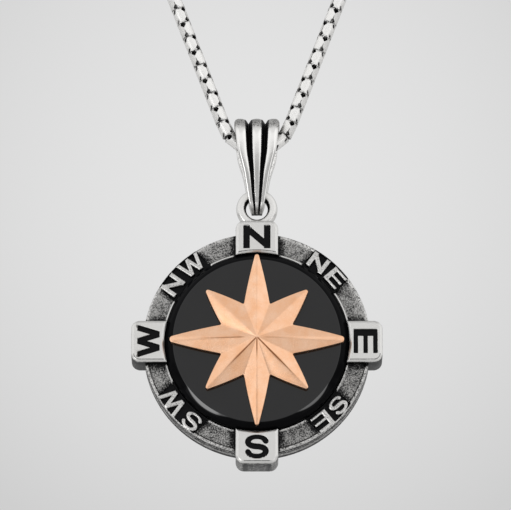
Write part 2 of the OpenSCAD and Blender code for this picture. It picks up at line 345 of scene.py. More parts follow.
class RingSizes(bpy.types.PropertyGroup):
    """Sizes of the ring with its closed back."""

    radius: length("Radius", 16.3, "Outer radius of the ring")
    opening: length("Opening", 13.2, "Radius of the opening that holds the stone")
    depth: length("Depth", 4.1, "Thickness from front to back")
    floor: length("Back", 0.8, "Thickness of the closed back")
    inner_lip: length("Inner lip", 0.35, "Width of the polished lip along the opening")
    outer_lip: length("Outer lip", 0.4, "Width of the polished lip along the outer edge")
    field_depth: length("Field", 0.22, "Depth of the blasted field between the lips")
    groove: length("Groove", 0.18, "Depth of the deepest line round the outer wall")
    # The line is painted shade on the lower part of the face
    shade_line_in: length("Line", 0.46, "Distance of the dark line on the lower face from the outer edge")
    bevel: length("Bevel", 0.2, "Rounding of the outer edges")
    seat_across: length("Seat edge", 0.08, "Width of the broken edge along the opening")
    seat_down: length("Seat edge drop", 0.12, "Height of the broken edge along the opening")


class BlockSizes(bpy.types.PropertyGroup):
    """Sizes of the four blocks."""

    width: length("Width", 6.1, "Width along the ring")
    reach: length("Reach", FRAME_HIGH.x / MM, "Distance of the outer face from the centre")
    proud: length("Proud", 1.1, "Height of the face above the ring's face")
    bevel: length("Bevel", 0.42, "Bevel round the face")
    corner: length("Corner", 1.2, "Rounding of the outer corners")


class LetterSizes(bpy.types.PropertyGroup):
    """Sizes of the compass letters."""

    block_height: length("Block letter", 3.3, "Height of a letter sunk into a block")
    block_stroke: length("Block stroke", 0.9, "Stroke of a letter sunk into a block")
    block_depth: length("Block depth", 0.32, "Depth of a letter sunk into a block")
    block_inward: length("Block inward", 0.05, "Distance of a block's letter from its middle, inwards")
    ring_height: length("Ring letter", 2.74, "Height of a raised letter on the ring")
    ring_stroke: length("Ring stroke", 0.72, "Stroke of a raised letter on the ring")
    ring_gap: length("Ring gap", 0.6, "Gap between the two letters of a pair")
    ring_outward: length("Ring outward", 0.075, "Distance of the raised letters from the ring's middle")
    crown: length("Crown", 0.09, "Height of a raised letter's middle above the lips")
    patch_depth: length("Patch depth", 0.5, "Depth of the black patch round a raised pair")
    patch_margin: length("Patch margin", 0.15, "Black margin beside a raised pair")


class LoopSizes(bpy.types.PropertyGroup):
    """Sizes of the loop on the top block."""

    radius: length("Radius", 2.98, "Outer radius")
    hole: length("Hole", 1.56, "Radius of the hole")
    depth: length("Depth", 1.8, "Thickness from front to back")
    neck: length("Neck", 0.8, "Metal between the block and the hole")
    dark_radius: length("Dark radius", 1.86, "Radius up to which the hole's wall is black")
    dark_less: length("Dark below", 0.16, "How much smaller the black radius is below")


class StoneSizes(bpy.types.PropertyGroup):
    """Sizes of the black stone."""

    edge: length("Edge", 1.15, "Radius of the rounded edge")
    clearance: length("Clearance", 0.06, "Gap to the metal round it")
    flat_slope: bearing("Flat slope", 26, "Slope at which a polished flat starts")


class StarSizes(bpy.types.PropertyGroup):
    """Sizes of the star."""

    long_tip: length("Long tip", 12.8, "Radius of the four long tips")
    short_tip: length("Short tip", 10.3, "Radius of the four short tips")
    valley: length("Valley", 5.54, "Radius of the valleys between the tips")
    valley_round: length("Valley rounding", 0.15, "Radius of a rounded valley")
    upright_turn: bearing("Upright arms", 19.8, "Angle from an upright arm to its valleys")
    level_turn: bearing("Level arms", 22.9, "Angle from a level arm to its valleys")
    bulge: length("Bulge", 0.08, "Outward bulge of the flanks")
    edge: length("Edge", 0.75, "Height of the edge above its seat")
    peak: length("Peak", 1.3, "Height of the peak above the edge")
    tip_round: length("Tip rounding", 0.32, "Radius of a rounded tip")
    side_round: length("Side tip rounding", 0.5, "Radius of the two tips that point east and west")
    rim: length("Rim", 0.12, "Rounding between the facets and the upright edge")
    clearance: length("Clearance", 0.04, "Gap between the star and the stone")


class BailSizes(bpy.types.PropertyGroup):
    """Sizes of the bail, whose two curves lie round the swing axes."""

    width: length("Width", 6.6, "Width at the top")
    tip_width: length("Tip width", 1.4, "Width at the lowest point")
    top_radius: length("Top radius", 3.5, "Outer radius of the top curve")
    top_inside: length("Top inside", 2.2, "Inner radius of the top curve")
    low_radius: length("Low radius", 1.9, "Outer radius of the low curve")
    low_inside: length("Low inside", 1.2518, "Inner radius of the low curve")
    low_thickness: length("Low thickness", 1.84, "Metal below the low curve")
    groove: length("Groove", 0.8, "Depth of the grooves between the rods at the top")
    inner_round: length("Inner round", 0.4, "Rounding of the inner edges")
    leg_bulge: length("Leg bulge", 0.15, "Outward bulge of the two legs")


class ChainSizes(bpy.types.PropertyGroup):
    """Sizes of the chain and its clasp."""

    loop: length("Loop", 500, "Length of the closed loop")
    thickness: length("Thickness", 2.0, "Thickness of the chain")
    pitch: length("Pitch", 2.3, "Distance between neighbouring links")
    metal: length("Metal", 0.28, "Thickness of a link's metal")
    play: length("Play", 0.28, "Clearance between two linked links")
    cheek_gap: length("Cheek gap", 0.04, "Distance of a cheek's end from the middle of the joint")
    end_width: length("End width", 0.5, "Width of a link at its ends")
    cheek_spread: bearing("Cheek spread", 87, "Half of the angle that a cheek takes round the chain")
    hole_width: length("Hole width", 0.8, "How wide the holes between the two cheeks of a link are")
    strand_angle: bearing("Strand angle", 20.5, "Angle of the strands from the vertical")
    clasp: length("Clasp", 13, "Shortest length of the clasp between its end joints")
    clasp_round: length("Clasp rounding", 0.8, "Rounding of the barrel's ends")
    clasp_groove: length("Clasp groove", 0.12, "Depth of the two turned grooves")
    clasp_groove_half: length("Clasp groove width", 0.35, "Half width of the two turned grooves")
    groove_at: FloatProperty(name="Clasp groove place", default=0.62, min=0.0, max=1.0, subtype="FACTOR",
                             description="Share of the way from the clasp's middle to its end")


class StageSizes(bpy.types.PropertyGroup):
    """Camera and surroundings."""

    distance: length("Camera distance", 800, "Distance of the camera")
    field: length("Field", 73.7, "Width of the picture at the pendant")
    below: bearing("From below", 16.05, "Angle at which the camera looks up at the face")
    aim_above: length("Aim", 13.56, "Height of the picture's middle above the medallion's")
    aim_side: length("Aim aside", -0.2, "Place of the picture's middle beside the pendant's")
    spot_above: bearing("Spot", 0.67, "Angle of the lit spot above the picture's middle")
    spot_spread: bearing("Spot spread", 4.1, "Angle from the spot's middle to the even backdrop")
    floor_below: length("Floor below", 250, "Distance of the floor under the camera")
    tent_radius: length("Tent radius", 12000, "Radius of the light tent that the metal mirrors")


class FinishColours(bpy.types.PropertyGroup):
    """Colours of the finishes."""

    silver: colour("Silver", "#F0EFED", "Polished sterling silver")
    satin: colour("Satin silver", "#B4B3B1", "Brushed sterling silver under a thin haze")
    # The colour of oxide, also used for painted shade
    oxide_and_shade: colour("Oxide", "#1B1B1C", "Blackened silver in the recesses")
    onyx: colour("Onyx", "#060607", "Black onyx")
    onyx_haze: colour("Onyx haze", "#111113", "Black onyx where its polish is less even")
    rose_gold: colour("Rose gold", "#F5C9A9", "Satin rose gold")
    rose_shade: colour("Rose shade", "#EFB78E", "Rose gold where the brushed grain lies across")
    # Rose gold in its painted shade along some ridges
    rose_crease: colour("Crease", "#8C5530", "Rose gold in its dark creases")
    backdrop: colour("Backdrop", "#CFCFCF", "Backdrop and floor")
    lit_backdrop: colour("Lit backdrop", "#E4E4E4", "Middle of the lit spot on the backdrop")


GROUPS = {
    "pendant_ring": RingSizes, "pendant_blocks": BlockSizes, "pendant_letters": LetterSizes,
    "pendant_loop": LoopSizes, "pendant_stone": StoneSizes, "pendant_star": StarSizes,
    "pendant_bail": BailSizes, "pendant_chain": ChainSizes, "pendant_stage": StageSizes,
    "pendant_colours": FinishColours,
}


def smoothstep(low, high, x):
    """0 below low, 1 above high, and 3 t^2 - 2 t^3 between them."""
    t = np.clip((x - low) / (high - low), 0, 1)
    return t * t * (3 - 2 * t)


def fade(end, full, distance):
    """Smoothstep of a distance, from 0 at one number of millimetres to 1 at another."""
    return smoothstep(end * MM, full * MM, distance)


def signed_power(value, power):
    """A power of the size of a value, with the value's sign."""
    return np.sign(value) * np.abs(value) ** power


def once_round(count):
    """Equal steps of angle once round, as a row."""
    return np.linspace(0, 2 * np.pi, count, endpoint=False)[None, :]


def away_from(angle, degrees):
    """Angles counted from a direction in degrees, up to half a turn each way."""
    return (angle - math.radians(degrees) + np.pi) % (2 * np.pi) - np.pi


def turned(x, y, angle):
    """Plan coordinates turned clockwise by an angle in radians."""
    return x * math.cos(angle) + y * math.sin(angle), y * math.cos(angle) - x * math.sin(angle)


def unit(vectors):
    """Vectors along the last axis, shortened to a length of one."""
    return vectors / np.linalg.norm(vectors, axis=-1, keepdims=True)


def hung(x, y, height):
    """The medallion's points where they hang: y goes up, and the height above the back comes forward."""
    x, y, height = np.broadcast_arrays(x, y, height)
    return np.stack([x, BACK_Y - height, CENTRE_Z + y], -1)


def grid(points, wrap=(False, False), **layers):
    """A surface as a grid of points, joined round its ends where wrap says so, with a number for each
    point in each named layer. Several grids of one size may be stacked before the last three axes."""
    shape = points.shape[:-1]
    return {"points": points, "wrap": wrap,
            "layers": {key: np.broadcast_to(value, shape) for key, value in layers.items()}}


def grid_faces(shape, wrap):
    """Corner numbers of the quads of stacked grids, as one array."""
    rows, columns = shape[-2:]
    index = np.arange(rows * columns).reshape(rows, columns)
    if wrap[0]:
        index = np.vstack([index, index[:1]])
    if wrap[1]:
        index = np.hstack([index, index[:, :1]])
    corners = [index[:-1, :-1], index[1:, :-1], index[1:, 1:], index[:-1, 1:]]
    quads = np.stack(corners, -1).reshape(1, -1, 4)
    copies = int(np.prod(shape[:-2]))
    return (quads + (np.arange(copies) * rows * columns).reshape(-1, 1, 1)).reshape(-1, 4)


def make_piece(name, grids, material, crisp=None):
    """One smooth mesh object from several grids. Equal points become one, faces point outwards, and
    edges that bend by more than the crisp angle stay sharp."""
    points, faces, start = [], [], 0
    layers = {key: [] for key in grids[0]["layers"]}
    for part in grids:
        points.append(part["points"].reshape(-1, 3))
        faces.append(grid_faces(part["points"].shape[:-1], part["wrap"]) + start)
        for key, values in part["layers"].items():
            layers[key].append(values.reshape(-1))
        start += len(points[-1])
    mesh = bpy.data.meshes.new(name)
    mesh.from_pydata(np.concatenate(points), [], np.concatenate(faces))
    for key, values in layers.items():
        layer = mesh.attributes.new(key, "FLOAT", "POINT")
        layer.data.foreach_set("value", np.concatenate(values).astype(np.float32))
    edit = bmesh.new()
    edit.from_mesh(mesh)
    bmesh.ops.remove_doubles(edit, verts=edit.verts, dist=MERGE)
    bmesh.ops.recalc_face_normals(edit, faces=edit.faces)
    edit.to_mesh(mesh)
    edit.free()
    mesh.polygons.foreach_set("use_smooth", np.ones(len(mesh.polygons), bool))
    if crisp:
        mesh.set_sharp_from_angle(angle=crisp)
    mesh.materials.append(material)
    piece = bpy.data.objects.new(name, mesh)
    bpy.context.scene.collection.objects.link(piece)
    return piece


def dress(name, grids, material, body, node, crisp=None):
    """Makes a piece that rides on its body and stands for its CAD node."""
    piece = make_piece(name, grids, material, crisp)
    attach(piece, body)
    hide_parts(node)


def letter_segments(letter):
    """Middle lines of a letter on the square from -1 to 1, as rows of x, y, x, y, share of the stroke.
    An S is two half ellipses, one from the right over the top, one on to the left below. It is thinnest
    where it lies level at its top and bottom."""
    if letter in STROKES:
        return np.array(STROKES[letter], float)
    upper = np.radians(np.linspace(*S_UPPER))
    lower = np.radians(np.linspace(*S_LOWER))
    x = np.concatenate([np.cos(upper), np.cos(lower)[1:]])
    y = np.concatenate([0.5 + np.sin(upper) / 2, np.sin(lower)[1:] / 2 - 0.5])
    share = S_STROKE - S_THINNER * smoothstep(*S_LEVEL, np.abs(y[1:] + y[:-1]) / 2)
    return np.stack([x[:-1], y[:-1], x[1:], y[1:], share], -1)


def letter_distance(letter, x, y, height, stroke):
    """Distance from a letter's outline, negative inside: the least distance to a stroke's middle line
    less half its width, but never less than the distance from the letter's box."""
    half_w, half_h = height * LETTER_SHARE[letter] / 2, height / 2
    nearest = np.full(np.shape(x), np.inf)
    for x0, y0, x1, y1, share in letter_segments(letter):
        room = np.array([half_w, half_h]) - share * stroke / 2
        start = room * (x0, y0)
        along = room * (x1, y1) - start
        t = np.clip(((x - start[0]) * along[0] + (y - start[1]) * along[1]) / (along @ along), 0, 1)
        gap = np.hypot(x - start[0] - t * along[0], y - start[1] - t * along[1])
        nearest = np.minimum(nearest, gap - share * stroke / 2)
    box = np.maximum(np.abs(x) - half_w, np.abs(y) - half_h)
    return np.maximum(nearest, box)


def pair_layout(pair, height, gap):
    """The two letters of a pair with the offset of each along the ring, and the pair's whole width."""
    widths = [LETTER_SHARE[letter] * height for letter in pair]
    whole = sum(widths) + gap
    offsets = [(widths[0] - whole) / 2, (whole - widths[1]) / 2]
    return list(zip(pair, offsets)), whole


def crowded_angles(count, ring, letters):
    """Angles round the ring, closer together where letters stand: the inverse of the
    summed closeness."""
    fine = np.linspace(0, 2 * np.pi, CROWDING_STEPS)
    middle = (ring.radius + ring.opening) / 2
    near = np.zeros(len(fine), bool)
    for pair, degrees, share in RING_PAIRS:
        whole = pair_layout(pair, share * letters.ring_height, letters.ring_gap)[1]
        near |= np.abs(away_from(fine, degrees)) * middle < whole / 2 + 2 * letters.patch_margin
    summed = np.cumsum(np.where(near, CROWDING, 1.0))
    return np.interp(np.linspace(summed[0], summed[-1], count, endpoint=False), summed, fine)


def face_oxide_and_shade(place, distance):
    """Oxide that fades out with the distance from a place on the ring's face; at the lower inner lip
    and the lower line it is painted shade.
    """
    amount, end, full = FACE_OXIDE_AND_SHADE[place]
    return amount * fade(end, full, distance)


def ring_face(r, angle, ring, blocks, letters):
    """Height of the ring's face over its lips, how black it is and how coarse, at radius r and angle.
    A field is sunk between two lips. Under each pair of letters a deeper black patch is sunk, out of
    which the letters rise to the lips' height, slightly crowned. The lower part gets painted shade:
    more black on the field, on the inner lip and in a line near the outer edge."""
    middle = (ring.radius + ring.opening) / 2 + letters.ring_outward
    from_patch = np.full(np.broadcast(r, angle).shape, np.inf)
    from_letter = from_patch.copy()
    for pair, degrees, share in RING_PAIRS:
        letter_height = share * letters.ring_height
        placed, whole = pair_layout(pair, letter_height, letters.ring_gap)
        away = away_from(angle, degrees)
        from_patch = np.minimum(from_patch, np.abs(away) * r - whole / 2 - letters.patch_margin)
        for letter, offset in placed:
            turn = away - offset / middle
            d = letter_distance(letter, r * np.sin(turn), r * np.cos(turn) - middle,
                                letter_height, letters.ring_stroke)
            from_letter = np.where(np.abs(turn) < LETTER_SECTOR, np.minimum(from_letter, d), from_letter)
    quarter = (angle + np.pi / 4) % (np.pi / 2) - np.pi / 4
    from_block = np.abs(r * np.sin(quarter)) - blocks.width / 2
    from_edge = ring.radius - r
    from_opening = r - ring.opening
    inner_side = smoothstep(*INNER_SLOPE, from_opening / ring.inner_lip)
    outer_side = smoothstep(*OUTER_SLOPE, from_edge / ring.outer_lip)
    band = inner_side * outer_side
    upper = smoothstep(*UPPER_PART, np.cos(angle))
    inside = fade(*RAISED_WALL, from_letter)
    patch = fade(*PATCH_WALL, from_patch)
    rim = fade(*PATCH_END, from_edge)
    sunk = ring.field_depth * band * (1 - patch) + letters.patch_depth * patch * rim
    height = letters.crown * fade(*CROWN_SLOPE, from_letter) - sunk * (1 - inside)
    inward = smoothstep(ring.radius, ring.opening, r)
    # Painted shade: the lower part is blacker on its field, at its inner lip and in a line near its outer
    # edge
    field = FIELD_BLACK + INWARD_BLACK * inward + LOWER_SHADE * (1 - upper)
    black = np.maximum.reduce([
        band * (field + face_oxide_and_shade("beside a block", from_block)),
        band * (field + face_oxide_and_shade("beside letters", from_patch)),
        face_oxide_and_shade("outer lip", from_edge),
        (1 - upper) * face_oxide_and_shade("lower inner lip", from_opening),
        (1 - upper) * face_oxide_and_shade("line", np.abs(from_edge - ring.shade_line_in)),
        face_oxide_and_shade("against a block", from_block),
        PATCH_BLACK * patch * np.maximum(rim, upper)])
    black = black * (1 - inside) + HAZE_BLACK * inside
    return height, black, np.maximum(band * (1 - patch), GRAIN["lips"])


def ring_surface(ring, blocks, letters):
    """The ring with its closed back: a profile of radius and height turned round the centre, where a
    point is (r sin a, r cos a). The profile runs from the seat's middle over the face and the outer
    wall, with its turned lines, to the middle of the back; the face adds its own relief."""
    face = ring.depth
    quarter = np.linspace(0, np.pi / 2, EDGE_STEPS)
    round_in = ring.bevel * (1 - np.sin(quarter))
    round_down = ring.bevel * (1 - np.cos(quarter))
    face_r = np.linspace(ring.opening + ring.seat_across, ring.radius - ring.bevel, RING_STEPS[1])
    lines = np.array(WALL_LINES)
    parts = [
        np.array([(0, ring.floor), (ring.opening, ring.floor), (ring.opening, face - ring.seat_down)]),
        np.stack([face_r, np.full(len(face_r), face)], -1),
        np.stack([ring.radius - round_in, face - round_down], -1)[1:],
        np.stack([ring.radius - lines[:, 1] * ring.groove, face * (1 - lines[:, 0])], -1),
        np.stack([ring.radius - round_down, round_in], -1),
        np.zeros((1, 2))]
    profile = np.concatenate(parts)
    starts = np.cumsum([len(part) for part in parts[:4]])
    on_face, on_edge, on_wall = [slice(*ends) for ends in zip(starts[:-1], starts[1:])]
    angle = crowded_angles(RING_STEPS[0], ring, letters)[None, :]
    r, height = np.repeat(profile.T[..., None], angle.shape[1], 2)
    black = np.full_like(r, WALL_BLACK)
    grain = np.full_like(r, GRAIN["wall"])
    relief, black[on_face], grain[on_face] = ring_face(r[on_face], angle, ring, blocks, letters)
    height[on_face] += relief
    black[on_edge] = ring_face(r[on_edge], angle, ring, blocks, letters)[1]
    black[on_wall] = lines[:, 2:]
    black[:on_face.start] = BLACK
    black[-3:] = BACK_BLACK
    points = hung(r * np.sin(angle), r * np.cos(angle), height)
    return grid(points, (False, True), black=black, grain=grain)


def block_plan(u, v, inset, ring, blocks):
    """Plan of the upper block, drawn in by inset: v runs from the arc along the opening out to the flat
    end, u from side to side, and the width follows a quarter circle at the outer corners."""
    outer = blocks.reach - inset
    corner = blocks.corner - inset
    opening = ring.opening + inset
    past = np.clip(opening + v * (outer - opening) - (outer - corner), 0, corner)
    x = u * (blocks.width / 2 - inset - corner + np.sqrt(corner ** 2 - past ** 2))
    inner = np.sqrt(opening ** 2 - x ** 2)
    return x, inner + v * (outer - inner)


def block_surfaces(letter, share, turn, ring, blocks, letters):
    """One block: its face as a grid with the letter sunk into it, and a skirt that runs from the face's
    edge over a rounded bevel down the walls and closes the back in a point. The skirt gets painted shade
    where it faces down and at the wall's corners."""
    face = ring.depth + blocks.proud
    bevel = blocks.bevel
    across = np.linspace(-1, 1, BLOCK_STEPS[0])
    corner = (blocks.corner - bevel) / (blocks.reach - ring.opening - 2 * bevel)
    up = np.concatenate([np.linspace(0, 1 - corner, BLOCK_STEPS[1]),
                         1 - corner + corner * np.sin(np.linspace(0, np.pi / 2, CORNER_STEPS))[1:]])
    u, v = np.meshgrid(across, up)
    x, y = block_plan(u, v, bevel, ring, blocks)
    middle = (blocks.reach + ring.opening) / 2 - letters.block_inward
    d = letter_distance(letter, x, y - middle, share * letters.block_height, letters.block_stroke)
    sunk = fade(*SUNK_WALL, d)
    top = hung(*turned(x, y, turn), face - letters.block_depth * sunk)
    side = np.concatenate([
        np.array(BLOCK_BEVEL) * (bevel, bevel, 1) + (0, face, 0),
        np.array(BLOCK_WALL) * (MM, MM, 1) + (0, ring.depth, 0),
        np.array(BLOCK_FOOT) * (MM, MM, 1)])
    inset, height, tone = np.vstack([side, (0, side[-1, 1], BACK_BLACK)]).T
    edge_u = np.concatenate([across, np.ones(len(up)), across[::-1], -np.ones(len(up))])
    edge_v = np.concatenate([np.zeros(len(across)), up, np.ones(len(across)), up[::-1]])
    rings = [block_plan(edge_u, edge_v, i, ring, blocks) for i in inset[:-1]]
    rings.append((np.zeros(len(edge_u)), np.full(len(edge_u), middle)))
    side_x, side_y = turned(*np.array(rings).transpose(1, 0, 2), turn)
    # Painted shade: the dark line round the face shows below alone, and the walls are blackest there and
    # at their corners
    edges = np.repeat(np.array([(0, -1), (1, 0), (0, 1), (-1, 0)]), [len(across), len(up)] * 2, 0)
    facing_down = np.maximum(-turned(edges[:, 0], edges[:, 1], turn)[1], 0)
    tones = np.repeat(tone[:, None], len(edge_u), 1)
    tones[1:3] *= SHADE_LINE_SHARE[0] + SHADE_LINE_SHARE[1] * facing_down
    wall = len(BLOCK_BEVEL)
    tones[wall:] += CORNER_SHADE * smoothstep(*CORNER_SHADE_PART, np.abs(edge_u))
    tones[wall - 1:] *= WALL_SHADE_SHARE[0] + WALL_SHADE_SHARE[1] * facing_down
    return [grid(top, black=BLACK * sunk, grain=GRAIN["block"]),
            grid(hung(side_x, side_y, height[:, None]), (False, True), black=tones,
                 grain=GRAIN["block side"])]


def loop_surface(blocks, loop):
    """The loop on the top block: a rounded section, a superellipse, turned round the hole.
    Oxide stays in the corners where it meets the block and on the sides of the hole."""
    bar = (loop.radius - loop.hole) / 2
    middle_y = blocks.reach + loop.neck + loop.hole
    a, s = once_round(LOOP_STEPS[0]), once_round(LOOP_STEPS[1]).T
    r = loop.hole + bar + bar * signed_power(np.cos(s), LOOP_POWER)
    height = BACK_Y + loop.depth / 2 * signed_power(np.sin(s), LOOP_POWER)
    x, y = r * np.sin(a), middle_y + r * np.cos(a)
    junction = fade(*JOIN_ABOVE, y - blocks.reach) * fade(*JOIN_ASIDE, np.abs(x))
    dark = loop.dark_radius - loop.dark_less * smoothstep(*HOLE_SHRINKS, np.cos(a))
    hole = fade(*HOLE_PAST, r - dark) * smoothstep(*HOLE_PART, np.cos(a))
    black = PATCH_BLACK * np.maximum(junction, hole)
    return grid(hung(x, y, height), (True, True), black=black, grain=GRAIN["loop"])


def stone_surface(ring, stone):
    """The stone: a flat top, a steep rounded edge, a wall and a flat back, turned round the centre.
    Across the edge the drop is 1 - (1 - x^p)^(1/p), where p is STONE_POWER. Hand polish left two
    lens-shaped flats on the edge below: there the drop starts with an even slope and curves down over
    the outer half. They shine most; the edge outside them mirrors only the dark ring, so it has the
    least gloss."""
    radius = ring.opening - stone.clearance
    flat_radius = radius - stone.edge
    top = BACK_Y - STONE_LOW.y
    angle = once_round(STONE_STEPS[0])
    across = np.sin(np.linspace(0, np.pi / 2, STONE_STEPS[1])[1:, None]) ** STONE_SPACING
    steep = 1 - (1 - across ** STONE_POWER) ** (1 / STONE_POWER)
    slope = math.tan(stone.flat_slope)
    past = np.clip(across * 2 - 1, 0, 1)
    flat = slope * across + (1 - slope) * (1 - np.sqrt(1 - past ** 2))
    polished = np.zeros_like(angle)
    lens = np.zeros_like(angle)
    for degrees, half, widest in POLISHED_FLATS:
        away = np.abs(angle - math.radians(degrees)) / math.radians(half)
        polished = np.maximum(polished, smoothstep(*FLAT_ENDS, away))
        lens = np.maximum(lens, widest * np.clip(1 - away ** 2, 0, 1))
    drop = steep + (flat - steep) * polished
    edge_gloss = EDGE_GLOSS + (1 - EDGE_GLOSS) * smoothstep(*GLOSS_EDGE, across - lens)
    flat_r = flat_radius * TOP_CIRCLES[:, None]
    even = np.ones((len(flat_r), angle.size))
    r = np.concatenate([flat_r, flat_radius + stone.edge * across, [[radius], [0]]])
    underside = (ring.floor + stone.clearance) * even[:2]
    height = np.concatenate([top * even, top - stone.edge * drop, underside])
    gloss = np.concatenate([TOP_GLOSS * even, edge_gloss, EDGE_GLOSS * even[:2]])
    return grid(hung(r * np.sin(angle), r * np.cos(angle), height), (False, True), gloss=gloss)


def star_outline(star):
    """Outline of the star, clockwise from the top, as x, y and the outward direction. The corners are
    tips and valleys in turn. Each is rounded by an arc that touches both its flanks, whose centre lies
    on the corner's bisector, its radius / sin(half the corner's angle) away. The corners of the tips lie
    so far out that their arcs reach the tips' radii. The flanks between two arcs bulge by 4 s (1 - s) of
    the bulge at a share s of their length."""
    quarter = np.array([0, star.upright_turn, np.pi / 4, np.pi / 2 - star.level_turn])
    mirrored = np.array([0, star.level_turn, np.pi / 4, np.pi / 2 - star.upright_turn])
    angle = np.concatenate([quarter, mirrored + np.pi / 2, quarter + np.pi, mirrored + 3 * np.pi / 2])
    round_off = np.tile([star.tip_round, star.valley_round], 8)
    round_off[[4, 12]] = star.side_round
    r = np.tile([star.long_tip, star.valley, star.short_tip, star.valley], 4)
    tips = r[::2].copy()
    for _ in range(2):
        corner = r[:, None] * np.stack([np.sin(angle), np.cos(angle)], -1)
        before, after = unit(np.roll(corner, 1, 0) - corner), unit(np.roll(corner, -1, 0) - corner)
        half = np.arccos(np.clip((before * after).sum(1), -1, 1)) / 2
        r[::2] = tips + round_off[::2] * (1 / np.sin(half[::2]) - 1)
    middle, aside = unit(before + after), unit(after - before)
    centre = corner + middle * (round_off / np.sin(half))[:, None]
    turn = (np.pi / 2 - half)[:, None, None] * np.linspace(-1, 1, CORNER_STEPS)[None, :, None]
    ray = aside[:, None] * np.sin(turn) - middle[:, None] * np.cos(turn)
    arcs = centre[:, None] + round_off[:, None, None] * ray
    ray *= np.tile([1, -1], 8)[:, None, None]
    start, end = arcs[:, -1:], np.roll(arcs[:, :1], -1, 0)
    share = np.linspace(0, 1, 6)[1:-1, None]
    flanks = start + share * (end - start) + star.bulge * 4 * share * (1 - share) * ray[:, -1:]
    points = np.concatenate([arcs, flanks], 1)
    outward = np.concatenate([ray, np.repeat(ray[:, -1:], len(share), 1)], 1)
    return points.reshape(-1, 2), outward.reshape(-1, 2)


def star_surface(star):
    """The star: straight lines from the peak to the outline, which make flat facets with rounded
    ridges, then a rounded rim, the upright edge and a flat underside. Painted shade keeps a dark tone
    along some ridges."""
    outline, outward = star_outline(star)
    seat = BACK_Y - STONE_LOW.y + star.clearance
    share = np.concatenate([np.linspace(0, PEAK_PART, STAR_STEPS[0])[:-1],
                            np.linspace(PEAK_PART, 1, STAR_STEPS[1])])
    cone = share[:, None, None] * (outline - star.rim * outward)
    a = np.linspace(0, np.pi / 2, EDGE_STEPS)[1:]
    rim = outline - (star.rim * (1 - np.sin(a)))[:, None, None] * outward
    plan = np.concatenate([cone, rim, outline[None], np.zeros((1, *outline.shape))])
    height = seat + np.concatenate([
        star.edge + star.peak * (1 - share), star.edge - star.rim * (1 - np.cos(a)), [0, 0]])
    x, y = plan[..., 0], plan[..., 1]
    angle, r = np.arctan2(x, y), np.hypot(x, y)
    # The painted shade along a ridge comes in from half of its start and fades from 0.4 of its end
    crease = np.zeros(x.shape)
    for degrees, start, end, depth in SHADED_RIDGES:
        tip = star.short_tip if degrees % 90 else star.long_tip
        line = fade(*SHADED_RIDGE_EDGE, np.abs(away_from(angle, degrees)) * r)
        along = smoothstep(0.5 * start * tip, start * tip, r) * smoothstep(end * tip, 0.4 * end * tip, r)
        crease = np.maximum(crease, depth * line * along)
    return grid(hung(x, y, height[:, None]), (False, True), crease=crease)


def round_two(radius, low_radius, drop):
    """A closed curve round two circles joined by tangents, as rows of y, z: the upper circle lies at
    the origin, the lower one a drop below it. Its steps are the same for any radii."""
    arc_steps, leg_steps = BAIL_STEPS[1:]
    tilt = math.asin((radius - low_radius) / drop)
    low = np.array([0, -drop])

    def ray(angle):
        return np.stack([np.cos(angle), np.sin(angle)], -1)

    right = ray(np.array(-tilt))
    left = right * (-1, 1)
    arc = np.arange(arc_steps) / arc_steps
    leg = np.arange(leg_steps)[:, None] / leg_steps
    return np.concatenate([
        radius * ray(-tilt + (np.pi + 2 * tilt) * arc),
        (1 - leg) * radius * left + leg * (low + low_radius * left),
        low + low_radius * ray(np.pi + tilt + (np.pi - 2 * tilt) * arc),
        (1 - leg) * (low + low_radius * right) + leg * radius * right])


def bail_taper(down):
    """Half width of the bail as a share between its narrowest and its widest, smoothed over a tenth of
    its height."""
    window = 41
    fine = np.linspace(0, 1, 401)
    shares = np.pad(np.interp(fine, *np.array(BAIL_TAPER).T), window // 2, mode="edge")
    return np.interp(down, fine, np.convolve(shares, np.full(window, 1 / window), "valid"))


